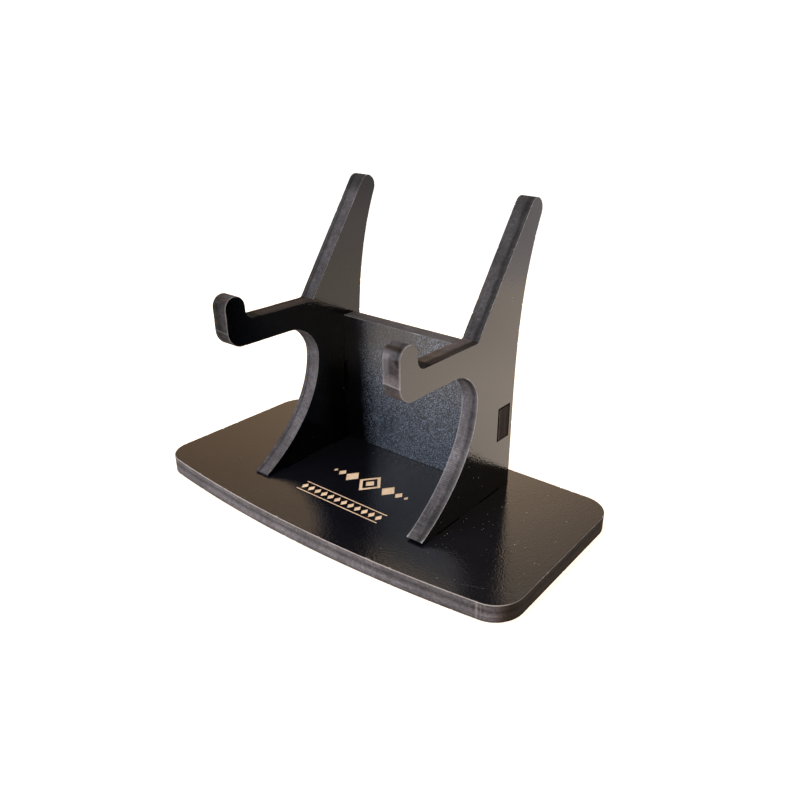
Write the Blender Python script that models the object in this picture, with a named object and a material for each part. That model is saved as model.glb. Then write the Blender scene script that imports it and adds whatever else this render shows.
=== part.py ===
"""Desk stand for one game controller, slotted together from 6 mm black-faced fibreboard.

Four flat pieces, all cut from the same sheet:
  base_plate     a rectangle with round corners and a slightly bowed front edge
  left_support   a leaning upright with a forward arm that ends in an upturned hook
  right_support  the same profile again
  back_panel     a cross panel between the supports, with a tab into each of them

Frame: +Z up, the front of the stand faces -Y, +X is to the right seen from the
front. The origin is on the standing surface, under the middle of the whole stand.
Profiles are drawn in millimetres in the plane (d, z): d is the distance behind the
base plate's back edge, so it is negative over most of the stand, and z the height.
"""

import math

import bmesh
import bpy
from mathutils import Matrix

MM = 0.001

# ---- driving dimensions, millimetres ------------------------------------------------
SHEET = 6.0               # thickness of the board, the same in all four pieces
GAP = 0.3                 # clearance between pieces that touch

BASE_WIDTH = 150.0
BASE_BACK_Y = 35.7        # Y of the base plate's straight back edge
BASE_CREST_D = -73.8      # front edge at the middle of its bow
BASE_BOW_R = 500.0        # radius of the bowed front edge
BASE_CORNER_R = 10.0

SUPPORT_X = 34.5          # middle plane of each support, left and right
FOOT_TIP = (-57.9, 6.9)                  # blunt front tip of the foot, its upper corner
FOOT_TIP_ANGLE = math.radians(27.5)      # rise of the foot's upper edge at the tip
FOOT_TIP_PULL = 14.5
WAIST = (-30.1, 44.3)                    # deepest point of the concave front
WAIST_PULL_DOWN = 16.8
WAIST_PULL_UP = 5.8
ARM_UNDER_Z = 55.7
ARM_UNDER_BACK = -42.3                   # where the underside starts to curve down
ARM_UNDER_PULL = 6.4
ARM_TOP_Z = 64.15
HOOK_FRONT = -67.6
HOOK_BACK = -59.8
HOOK_BOTTOM_R = 5.5
HOOK_TOP_Z = 72.3
NOTCH_R = 2.9
NOSE_CENTRE = (-1.3, 99.3)               # rounded top of the upright
NOSE_R = 3.7
LEAN = 0.72                              # run over rise of the upright's front edge
BACK_D = -8.1                            # vertical lower part of the back edge
BACK_BEND_Z = 29.9                       # where the back edge starts to lean
BACK_PULL = 26.0
BACK_TOP_ANGLE = math.radians(24.5)      # lean of the back edge where it meets the nose
BACK_TOP_PULL = 23.0
SUPPORT_TABS = ((-50.0, -38.0), (-26.0, -14.0))   # tongues down into the base plate

PANEL_FRONT = -16.35      # front face of the cross panel
PANEL_TOP_Z = 55.5
TAB_Z = (25.6, 37.0)      # tongue at each end of the panel
TAB_RECESS = 0.4          # the tongue stops this far short of the support's outer face
SLOT_D = (-17.05, -10.05)
SLOT_Z = (25.3, 37.5)

BOARD_COLOUR = (0.0080, 0.0085, 0.0100, 1.0)


# ---- outline helpers: each returns a list of (d, z) or (x, y) points ------------------
def arc(centre, radius, start, end, steps):
    """Points on a circle from angle start to angle end, degrees."""
    points = []
    for i in range(steps + 1):
        angle = math.radians(start + (end - start) * i / steps)
        points.append((centre[0] + radius * math.cos(angle),
                       centre[1] + radius * math.sin(angle)))
    return points


def bezier(p0, p1, p2, p3, steps):
    """Points on a cubic curve, both ends included."""
    points = []
    for i in range(steps + 1):
        t = i / steps
        a, b, c, d = (1 - t) ** 3, 3 * (1 - t) ** 2 * t, 3 * (1 - t) * t ** 2, t ** 3
        points.append(tuple(a * p0[k] + b * p1[k] + c * p2[k] + d * p3[k]
                            for k in range(2)))
    return points


def without_repeats(points):
    """Drop points that fall on the one before, and a last one on the first."""
    kept = []
    for point in points:
        if not kept or math.dist(point, kept[-1]) > 0.01:
            kept.append(point)
    if math.dist(kept[0], kept[-1]) <= 0.01:
        kept.pop()
    return kept


def support_outline():
    """Side profile of a support, round from the back of the foot."""
    bottom = SHEET + GAP
    points = [(BACK_D, bottom)]
    # back edge: vertical, then leaning back ever more up to the nose
    normal = (math.cos(BACK_TOP_ANGLE), -math.sin(BACK_TOP_ANGLE))
    meet = (NOSE_CENTRE[0] + NOSE_R * normal[0], NOSE_CENTRE[1] + NOSE_R * normal[1])
    points += bezier((BACK_D, BACK_BEND_Z), (BACK_D, BACK_BEND_Z + BACK_PULL),
                     (meet[0] - BACK_TOP_PULL * math.sin(BACK_TOP_ANGLE),
                      meet[1] - BACK_TOP_PULL * math.cos(BACK_TOP_ANGLE)), meet, 16)
    # nose, over the top to the straight leaning front edge
    lean_angle = math.degrees(math.atan(LEAN))
    points += arc(NOSE_CENTRE, NOSE_R, -math.degrees(BACK_TOP_ANGLE),
                  180.0 - lean_angle, 14)
    start = points[-1]
    points.append((start[0] - LEAN * (start[1] - ARM_TOP_Z), ARM_TOP_Z))
    # arm: flat top, notch, hook, flat underside
    points += arc((HOOK_BACK + NOTCH_R, ARM_TOP_Z + NOTCH_R), NOTCH_R, 270, 180, 6)
    hook_r = (HOOK_BACK - HOOK_FRONT) / 2
    points += arc((HOOK_FRONT + hook_r, HOOK_TOP_Z - hook_r), hook_r, 0, 180, 12)
    points += arc((HOOK_FRONT + HOOK_BOTTOM_R, ARM_UNDER_Z + HOOK_BOTTOM_R),
                  HOOK_BOTTOM_R, 180, 270, 8)
    # concave front: tight under the arm, then a long sweep out to the foot's tip
    under = (ARM_UNDER_BACK, ARM_UNDER_Z)
    points += bezier(under, (under[0] + ARM_UNDER_PULL, under[1]),
                     (WAIST[0], WAIST[1] + WAIST_PULL_UP), WAIST, 9)
    points += bezier(WAIST, (WAIST[0], WAIST[1] - WAIST_PULL_DOWN),
                     (FOOT_TIP[0] + FOOT_TIP_PULL * math.cos(FOOT_TIP_ANGLE),
                      FOOT_TIP[1] + FOOT_TIP_PULL * math.sin(FOOT_TIP_ANGLE)),
                     FOOT_TIP, 16)
    # blunt tip, then the underside of the foot with its tongues
    points.append((FOOT_TIP[0], bottom))
    for front, back in SUPPORT_TABS:
        points += [(front, bottom), (front, GAP), (back, GAP), (back, bottom)]
    return without_repeats(points)


def base_outline():
    """Plan of the base plate, (x, y) with y already in the stand's frame."""
    half, r = BASE_WIDTH / 2, BASE_CORNER_R
    back = BASE_BACK_Y
    centre_y = BASE_BACK_Y + BASE_CREST_D + BASE_BOW_R     # middle of the bow's circle
    # front corners: circles of radius r inside both the side and the bow
    corner_x = half - r
    corner_y = centre_y - math.sqrt((BASE_BOW_R - r) ** 2 - corner_x ** 2)
    bow = math.degrees(math.asin(corner_x / (BASE_BOW_R - r)))
    points = arc((0, centre_y), BASE_BOW_R, 270 - bow, 270 + bow, 20)
    points += arc((corner_x, corner_y), r, 270 + bow, 360, 8)
    points += arc((corner_x, back - r), r, 0, 90, 8)
    points += arc((-corner_x, back - r), r, 90, 180, 8)
    points += arc((-corner_x, corner_y), r, 180, 270 - bow, 8)
    return without_repeats(points)


def panel_outline():
    """Front view of the cross panel, (x, z), with a tongue at each end."""
    body = SUPPORT_X - SHEET / 2 - GAP
    reach = SUPPORT_X + SHEET / 2 - TAB_RECESS
    bottom = SHEET + GAP
    low, high = TAB_Z
    right = [(body, bottom), (body, low), (reach, low), (reach, high), (body, high),
             (body, PANEL_TOP_Z)]
    return right + [(-x, z) for x, z in reversed(right)]


# ---- object helpers -----------------------------------------------------------------
def board_material(name):
    material = bpy.data.materials.new(name)
    material.use_nodes = True
    shader = material.node_tree.nodes["Principled BSDF"]
    shader.inputs["Base Color"].default_value = BOARD_COLOUR
    shader.inputs["Roughness"].default_value = 0.28
    shader.inputs["Metallic"].default_value = 0.0
    material.diffuse_color = BOARD_COLOUR
    return material


def sheet_piece(name, outline, placing, collection):
    """A flat piece: the outline as a filled 2D curve of the sheet's thickness,
    centred on its own plane, turned into a mesh and placed by `placing`."""
    curve = bpy.data.curves.new(name + "_outline", "CURVE")
    curve.dimensions = "2D"
    curve.fill_mode = "BOTH"
    curve.extrude = SHEET / 2 * MM
    spline = curve.splines.new("POLY")
    spline.points.add(len(outline) - 1)
    for point, (u, v) in zip(spline.points, outline):
        point.co = (u * MM, v * MM, 0.0, 1.0)
    spline.use_cyclic_u = True
    drawn = bpy.data.objects.new(name + "_curve", curve)
    collection.objects.link(drawn)
    drawn.matrix_world = placing
    bpy.context.view_layer.update()

    depsgraph = bpy.context.evaluated_depsgraph_get()
    mesh = bpy.data.meshes.new_from_object(drawn.evaluated_get(depsgraph))
    mesh.name = name
    bm = bmesh.new()
    bm.from_mesh(mesh)
    bmesh.ops.remove_doubles(bm, verts=bm.verts, dist=0.000005)
    # the curve's fill leaves slivers where outline points lie on one straight line,
    # so each flat side is filled again as a single face
    flat = [face for face in bm.faces
            if max(v.co.z for v in face.verts) - min(v.co.z for v in face.verts) < 1e-6]
    bmesh.ops.delete(bm, geom=flat, context="FACES")
    loose = [edge for edge in bm.edges if not edge.link_faces]
    bmesh.ops.delete(bm, geom=loose, context="EDGES")
    rims = [edge for edge in bm.edges if len(edge.link_faces) == 1]
    bmesh.ops.holes_fill(bm, edges=rims, sides=0)
    bmesh.ops.recalc_face_normals(bm, faces=bm.faces)
    bm.to_mesh(mesh)
    bm.free()
    mesh.materials.clear()
    mesh.materials.append(board_material(name + "_board"))

    piece = bpy.data.objects.new(name, mesh)
    collection.objects.link(piece)
    piece.matrix_world = drawn.matrix_world
    bpy.data.objects.remove(drawn, do_unlink=True)
    bpy.data.curves.remove(curve)
    return piece


def box_cutter(name, low, high, collection):
    """A block between two corners, in millimetres, that only cuts."""
    mesh = bpy.data.meshes.new(name)
    bm = bmesh.new()
    bmesh.ops.create_cube(bm, size=1.0)
    size = [(b - a) * MM for a, b in zip(low, high)]
    bmesh.ops.scale(bm, vec=size, verts=bm.verts)
    bm.to_mesh(mesh)
    bm.free()
    cutter = bpy.data.objects.new(name, mesh)
    collection.objects.link(cutter)
    cutter.location = [(a + b) / 2 * MM for a, b in zip(low, high)]
    cutter.hide_render = True
    cutter.display_type = "WIRE"
    return cutter


def cut(piece, cutter):
    modifier = piece.modifiers.new(cutter.name, "BOOLEAN")
    modifier.operation = "DIFFERENCE"
    modifier.solver = "EXACT"
    modifier.object = cutter


def main():
    for old in list(bpy.data.objects):
        bpy.data.objects.remove(old, do_unlink=True)
    scene = bpy.context.scene
    parts = bpy.data.collections.new("controller_stand")
    cutters = bpy.data.collections.new("cutters")
    scene.collection.children.link(parts)
    scene.collection.children.link(cutters)

    # base plate: drawn in plan, standing on z = 0
    plan = Matrix.Translation((0.0, 0.0, SHEET / 2 * MM))
    base = sheet_piece("base_plate", base_outline(), plan, parts)

    # supports: the outline's first axis runs to +Y, its second to +Z, so the
    # sheet's own normal runs to +X
    upright_axes = Matrix(((0, 0, 1, 0), (1, 0, 0, 0), (0, 1, 0, 0), (0, 0, 0, 1)))
    for name, side in (("left_support", -1), ("right_support", 1)):
        x = side * SUPPORT_X
        placing = Matrix.Translation((x * MM, BASE_BACK_Y * MM, 0.0)) @ upright_axes
        support = sheet_piece(name, support_outline(), placing, parts)
        # slot for the cross panel's tongue
        cut(support, box_cutter(name + "_slot",
                                (x - SHEET, BASE_BACK_Y + SLOT_D[0], SLOT_Z[0]),
                                (x + SHEET, BASE_BACK_Y + SLOT_D[1], SLOT_Z[1]),
                                cutters))
        # slots in the base plate for this support's tongues
        for number, (front, back) in enumerate(SUPPORT_TABS, 1):
            cut(base, box_cutter("base_slot_%s_%d" % (name, number),
                                 (x - SHEET / 2 - GAP, BASE_BACK_Y + front - GAP, -SHEET),
                                 (x + SHEET / 2 + GAP, BASE_BACK_Y + back + GAP, 2 * SHEET),
                                 cutters))

    # cross panel: outline axes to +X and +Z, so the sheet's normal runs to -Y
    front_axes = Matrix(((1, 0, 0, 0), (0, 0, -1, 0), (0, 1, 0, 0), (0, 0, 0, 1)))
    middle_y = BASE_BACK_Y + PANEL_FRONT + SHEET / 2
    sheet_piece("back_panel", panel_outline(),
                Matrix.Translation((0.0, middle_y * MM, 0.0)) @ front_axes, parts)


main()
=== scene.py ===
import math

import bpy
import numpy as np
from mathutils import Matrix, Vector, geometry


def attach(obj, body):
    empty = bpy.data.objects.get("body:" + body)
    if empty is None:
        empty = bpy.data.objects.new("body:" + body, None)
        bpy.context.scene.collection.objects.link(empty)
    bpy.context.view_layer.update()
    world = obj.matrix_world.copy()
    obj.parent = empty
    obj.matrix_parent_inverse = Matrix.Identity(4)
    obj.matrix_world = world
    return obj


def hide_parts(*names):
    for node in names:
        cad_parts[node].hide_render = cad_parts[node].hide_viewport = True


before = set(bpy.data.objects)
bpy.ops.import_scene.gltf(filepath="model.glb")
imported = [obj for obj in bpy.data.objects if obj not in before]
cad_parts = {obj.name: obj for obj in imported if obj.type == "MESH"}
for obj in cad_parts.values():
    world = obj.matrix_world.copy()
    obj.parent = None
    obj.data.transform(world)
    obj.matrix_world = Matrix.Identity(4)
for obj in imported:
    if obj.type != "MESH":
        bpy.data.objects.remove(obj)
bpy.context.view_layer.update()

# The whole script works in millimetres and turns to metres when a mesh is made.
# Each of the four boards is rebuilt as a fine mesh over its plain solid: flat
# laminated faces, rounded and slightly chipped arrises, and cut edges with the
# relief that a cutting beam leaves across the thickness.

MM = 0.001

SHEET = 6.0
GAP = 0.3
HALF = SHEET / 2
BASE_BACK_Y = 35.7
rng = np.random.default_rng(4821)


# ---------------------------------------------------------------- smooth noise
class Noise1:
    """Smooth value noise on a line, about -1..1, one feature per unit."""

    def __init__(self, seed, n=4096):
        self.v = np.random.default_rng(seed).uniform(-1, 1, n)
        self.n = n

    def __call__(self, x):
        x = np.asarray(x, float)
        i = np.floor(x).astype(int)
        f = x - i
        f = f * f * (3 - 2 * f)
        return self.v[i % self.n] * (1 - f) + self.v[(i + 1) % self.n] * f


class Noise2:
    """The same on a plane."""

    def __init__(self, seed, n=512):
        self.v = np.random.default_rng(seed).uniform(-1, 1, (n, n))
        self.n = n

    def __call__(self, x, y):
        x, y = np.broadcast_arrays(np.asarray(x, float), np.asarray(y, float))
        i, j = np.floor(x).astype(int), np.floor(y).astype(int)
        f, g = x - i, y - j
        f, g = f * f * (3 - 2 * f), g * g * (3 - 2 * g)
        n, v = self.n, self.v
        a = v[i % n, j % n] * (1 - f) + v[(i + 1) % n, j % n] * f
        b = v[i % n, (j + 1) % n] * (1 - f) + v[(i + 1) % n, (j + 1) % n] * f
        return a * (1 - g) + b * g


def smoothstep(a, b, x):
    t = np.clip((np.asarray(x, float) - a) / (b - a), 0, 1)
    return t * t * (3 - 2 * t)


# ---------------------------------------------------------------- outlines
def arc(centre, radius, start, end, steps):
    out = []
    for i in range(steps + 1):
        a = math.radians(start + (end - start) * i / steps)
        out.append((centre[0] + radius * math.cos(a), centre[1] + radius * math.sin(a)))
    return out


def bezier(p0, p1, p2, p3, steps):
    out = []
    for i in range(steps + 1):
        t = i / steps
        w = ((1 - t) ** 3, 3 * (1 - t) ** 2 * t, 3 * (1 - t) * t ** 2, t ** 3)
        out.append(tuple(sum(w[k] * p[c] for k, p in enumerate((p0, p1, p2, p3)))
                         for c in range(2)))
    return out


def fillet(before, corner, after, radius, steps=12):
    """Arc-like curve that rounds the corner between two straight lines."""
    a, b, c = (np.array(q, float) for q in (before, corner, after))
    u, v = (a - b) / np.linalg.norm(a - b), (c - b) / np.linalg.norm(c - b)
    half = 0.5 * math.acos(float(np.clip(u @ v, -1, 1)))
    reach = radius / math.tan(half)
    centre = b + (u + v) / np.linalg.norm(u + v) * radius / math.sin(half)
    p0, p1 = b + u * reach - centre, b + v * reach - centre
    total = math.acos(float(np.clip(p0 @ p1 / radius ** 2, -1, 1)))
    out = []
    for i in range(steps + 1):
        f = i / steps
        q = (math.sin((1 - f) * total) * p0 + math.sin(f * total) * p1) / math.sin(total)
        out.append(tuple(centre + q))
    return out


def resample(points, step, corner=16.0):
    """Even spacing along a closed outline, with every sharp corner kept."""
    p = [np.array(points[0], float)]
    for q in points[1:]:
        q = np.array(q, float)
        if np.linalg.norm(q - p[-1]) > 0.004:
            p.append(q)
    if np.linalg.norm(p[0] - p[-1]) <= 0.004:
        p.pop()
    p = np.array(p)
    e = np.roll(p, -1, 0) - p
    e /= np.linalg.norm(e, axis=1)[:, None]
    before = np.roll(e, 1, 0)
    turn = np.degrees(np.abs(np.arctan2(before[:, 0] * e[:, 1] - before[:, 1] * e[:, 0],
                                        (before * e).sum(1))))
    sharp = np.where(turn > corner)[0]
    if len(sharp) == 0:
        sharp = np.array([0])
    out, corners = [], []
    for a, b in zip(sharp, np.roll(sharp, -1)):
        idx = np.arange(a, b + 1 if b > a else b + len(p) + 1) % len(p)
        run = p[idx]
        length = np.concatenate([[0], np.cumsum(np.linalg.norm(np.diff(run, axis=0), axis=1))])
        n = max(2, int(round(length[-1] / step)))
        s = np.linspace(0, length[-1], n + 1)[:-1]
        corners.append(len(out))
        out += list(np.stack([np.interp(s, length, run[:, 0]),
                              np.interp(s, length, run[:, 1])], 1))
    return np.array(out)


def normals_of(p):
    """Outward mitred normals of a closed outline with its material on the left."""
    e = np.roll(p, -1, 0) - p
    length = np.linalg.norm(e, axis=1)
    e /= length[:, None]
    right = np.stack([e[:, 1], -e[:, 0]], 1)
    n = right + np.roll(right, 1, 0)
    n /= np.linalg.norm(n, axis=1)[:, None]
    cosine = (n * right).sum(1)
    s = np.concatenate([[0], np.cumsum(length)[:-1]])
    return n, 1 / np.maximum(cosine, 0.4), s


SUPPORT_TABS = ((-50.0, -38.0), (-26.0, -14.0))
SLOT_D, SLOT_Z = (-17.25, -10.05), (25.3, 37.5)
TAB_Z = (25.34, 37.0)
PANEL_FRONT, PANEL_TOP_Z = -16.35, 55.5
FOOT_Z = SHEET + 0.03


def support_profile(tip_z, undercut):
    """The supports' side profile. The foot's blunt tip is chipped away below, so
    that it stands a little clear of the base plate."""
    nose, r, lean = (-1.3, 99.3), 3.685, 0.72
    top = math.radians(24.5)
    meet = (nose[0] + r * math.cos(top), nose[1] - r * math.sin(top))
    pts = [(-8.1, FOOT_Z)]
    pts += bezier((-8.1, 29.9), (-8.1, 55.9),
                  (meet[0] - 23.0 * math.sin(top), meet[1] - 23.0 * math.cos(top)), meet, 90)
    pts += arc(nose, r, -24.5, 180 - math.degrees(math.atan(lean)), 60)
    s = pts[-1]
    corner = (s[0] - lean * (s[1] - 64.15), 64.15)
    pts += fillet(s, corner, (corner[0] - 9, 64.15), 1.7)
    pts += arc((-56.9, 67.05), 2.9, 270, 180, 30)
    pts += arc((-63.7, 68.4), 3.9, 0, 180, 70)
    pts += arc((-62.1, 61.2), 5.5, 180, 270, 50)
    pts += bezier((-42.3, 55.7), (-35.9, 55.7), (-30.1, 50.1), (-30.1, 44.3), 60)
    a = math.radians(27.5)
    pts += bezier((-30.1, 44.3), (-30.1, 27.5),
                  (-57.9 + 14.5 * math.cos(a), tip_z + 14.5 * math.sin(a)),
                  (-57.9, tip_z), 110)
    pts += [(-57.8, tip_z - 0.12)]
    if undercut:
        pts += [(-57.2, tip_z - 0.16), (-54.6, FOOT_Z + 0.12), (-53.4, FOOT_Z)]
    else:
        pts += [(-57.7, FOOT_Z)]
    for front, back in SUPPORT_TABS:
        pts += [(front, FOOT_Z), (front, GAP), (back, GAP), (back, FOOT_Z)]
    return pts


def rectangle_hole(x0, x1, y0, y1):
    """Corners in the order that keeps the material on the left."""
    return [(x0, y0), (x0, y1), (x1, y1), (x1, y0)]


def base_profile():
    half, r, bow_r = 75.0, 10.0, 500.0
    back = BASE_BACK_Y
    cy = back - 73.8 + bow_r
    cx = half - r
    corner_y = cy - math.sqrt((bow_r - r) ** 2 - cx ** 2)
    bow = math.degrees(math.asin(cx / (bow_r - r)))
    pts = arc((0, cy), bow_r, 270 - bow, 270 + bow, 300)
    pts += arc((cx, corner_y), r, 270 + bow, 360, 60)
    pts += arc((cx, back - r), r, 0, 90, 60)
    pts += arc((-cx, back - r), r, 90, 180, 60)
    pts += arc((-cx, corner_y), r, 180, 270 - bow, 60)
    return pts


def panel_profile():
    body, reach = 34.5 - HALF - 0.03, 34.5 + HALF - 0.1
    right = [(body, FOOT_Z), (body, TAB_Z[0]), (reach, TAB_Z[0]), (reach, TAB_Z[1]),
             (body, TAB_Z[1]), (body, PANEL_TOP_Z)]
    return right + [(-x, z) for x, z in reversed(right)]


def room_inside(p, n):
    """How far each outline point can move inwards before it meets the far side."""
    a, e = p, np.roll(p, -1, 0) - p
    out = np.full(len(p), 50.0)
    for k in range(0, len(p), 400):
        q, d = p[k:k + 400, None, :], -n[k:k + 400, None, :]
        cross = d[:, :, 0] * e[None, :, 1] - d[:, :, 1] * e[None, :, 0]
        w = a[None, :, :] - q
        with np.errstate(divide="ignore", invalid="ignore"):
            far = (w[:, :, 0] * e[None, :, 1] - w[:, :, 1] * e[None, :, 0]) / cross
            along = (w[:, :, 0] * d[:, :, 1] - w[:, :, 1] * d[:, :, 0]) / cross
        far[~((along >= -1e-6) & (along <= 1 + 1e-6) & (far > 0.02))] = 50.0
        out[k:k + 400] = far.min(1)
    return out


# ---------------------------------------------------------------- board meshes
class Mesh:
    """Collects vertices, faces and the attributes that the materials read."""

    def __init__(self):
        self.co, self.faces, self.mat, self.smooth = [], [], [], []
        self.tone, self.pale, self.warm = [], [], []
        self.count = 0

    def add(self, co, tone, pale, warm=0.0):
        first = self.count
        self.co.append(np.asarray(co, float))
        n = len(co)
        self.tone.append(np.broadcast_to(np.asarray(tone, float), n).copy())
        self.pale.append(np.broadcast_to(np.asarray(pale, float), n).copy())
        self.warm.append(np.broadcast_to(np.asarray(warm, float), n).copy())
        self.count += n
        return first

    def face(self, loop, mat, smooth):
        self.faces.append(tuple(int(i) for i in loop))
        self.mat.append(mat)
        self.smooth.append(smooth)

    def build(self, name, materials, sharp_sets=()):
        me = bpy.data.meshes.new(name)
        co = np.concatenate(self.co) * MM
        me.from_pydata(co.tolist(), [], self.faces)
        me.validate(verbose=False)
        for m in materials:
            me.materials.append(m)
        me.polygons.foreach_set("material_index", self.mat)
        me.polygons.foreach_set("use_smooth", self.smooth)
        for key, values in (("tone", self.tone), ("pale", self.pale), ("warm", self.warm)):
            layer = me.attributes.new(key, "FLOAT", "POINT")
            layer.data.foreach_set("value", np.concatenate(values).astype(np.float32))
        # an arris between a flat face and its rounding stays a crisp line
        edges = {tuple(sorted((a, b))) for ring in sharp_sets
                 for a, b in zip(ring, np.roll(ring, -1))}
        if edges:
            keys = np.zeros(len(me.edges) * 2, np.int64)
            me.edges.foreach_get("vertices", keys)
            keys = np.sort(keys.reshape(-1, 2), axis=1)
            flags = [tuple(k) in edges for k in keys.tolist()]
            layer = me.attributes.new("sharp_edge", "BOOLEAN", "EDGE")
            layer.data.foreach_set("value", flags)
        me.update()
        ob = bpy.data.objects.new(name, me)
        bpy.context.scene.collection.objects.link(ob)
        return ob


def crossings(points, loop):
    """Even-odd test of many points against one closed outline."""
    a, b = loop, np.roll(loop, -1, 0)
    inside = np.zeros(len(points), bool)
    for k in range(0, len(points), 2000):
        x, y = points[k:k + 2000, 0][:, None], points[k:k + 2000, 1][:, None]
        hit = (a[:, 1] > y) != (b[:, 1] > y)
        with np.errstate(divide="ignore", invalid="ignore"):
            at = a[:, 0] + (y - a[:, 1]) * (b[:, 0] - a[:, 0]) / (b[:, 1] - a[:, 1])
        inside[k:k + 2000] = (np.where(hit, x < at, False).sum(1) % 2) == 1
    return inside


def triangulate(loops):
    """Triangles over all loops at once. Gives index triples, corner order counter-
    clockwise, and each triangle's centre."""
    pts = np.concatenate(loops)
    edges, k = [], 0
    for loop in loops:
        n = len(loop)
        edges += [(k + i, k + (i + 1) % n) for i in range(n)]
        k += n
    co, _, faces, orig, _, _ = geometry.delaunay_2d_cdt(
        [Vector(p) for p in pts], edges, [], 0, 1e-6)
    index = [o[0] if o else -1 for o in orig]
    tris = np.array([[index[i] for i in f] for f in faces if len(f) == 3])
    tris = tris[(tris >= 0).all(1)]
    p = pts[tris]
    area = ((p[:, 1, 0] - p[:, 0, 0]) * (p[:, 2, 1] - p[:, 0, 1])
            - (p[:, 1, 1] - p[:, 0, 1]) * (p[:, 2, 0] - p[:, 0, 0]))
    tris[area < 0] = tris[area < 0][:, ::-1]
    tris = tris[np.abs(area) > 1e-9]
    return tris, pts[tris].mean(1)


ARRIS = 0.24                                   # radius of the worn arrises
RIM = 0.62                                     # width of the clean rim inside them
SIDE_ROWS = np.linspace(HALF - ARRIS, -(HALF - ARRIS), 15)


def nib_ring(u, v, size, seed):
    """Outline of a grain of dust, and its turned and stretched radii."""
    r = np.random.default_rng(seed)
    count = 7
    a = np.linspace(0, 2 * math.pi, count, endpoint=False)
    stretch, turn = r.uniform(0.7, 1.4), r.uniform(0, math.pi)
    k = size * r.uniform(0.75, 1.2, count)
    x, y = k * np.cos(a) * stretch, k * np.sin(a) / stretch
    return np.stack([u + x * math.cos(turn) - y * math.sin(turn),
                     v + x * math.sin(turn) + y * math.cos(turn)], 1)


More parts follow.
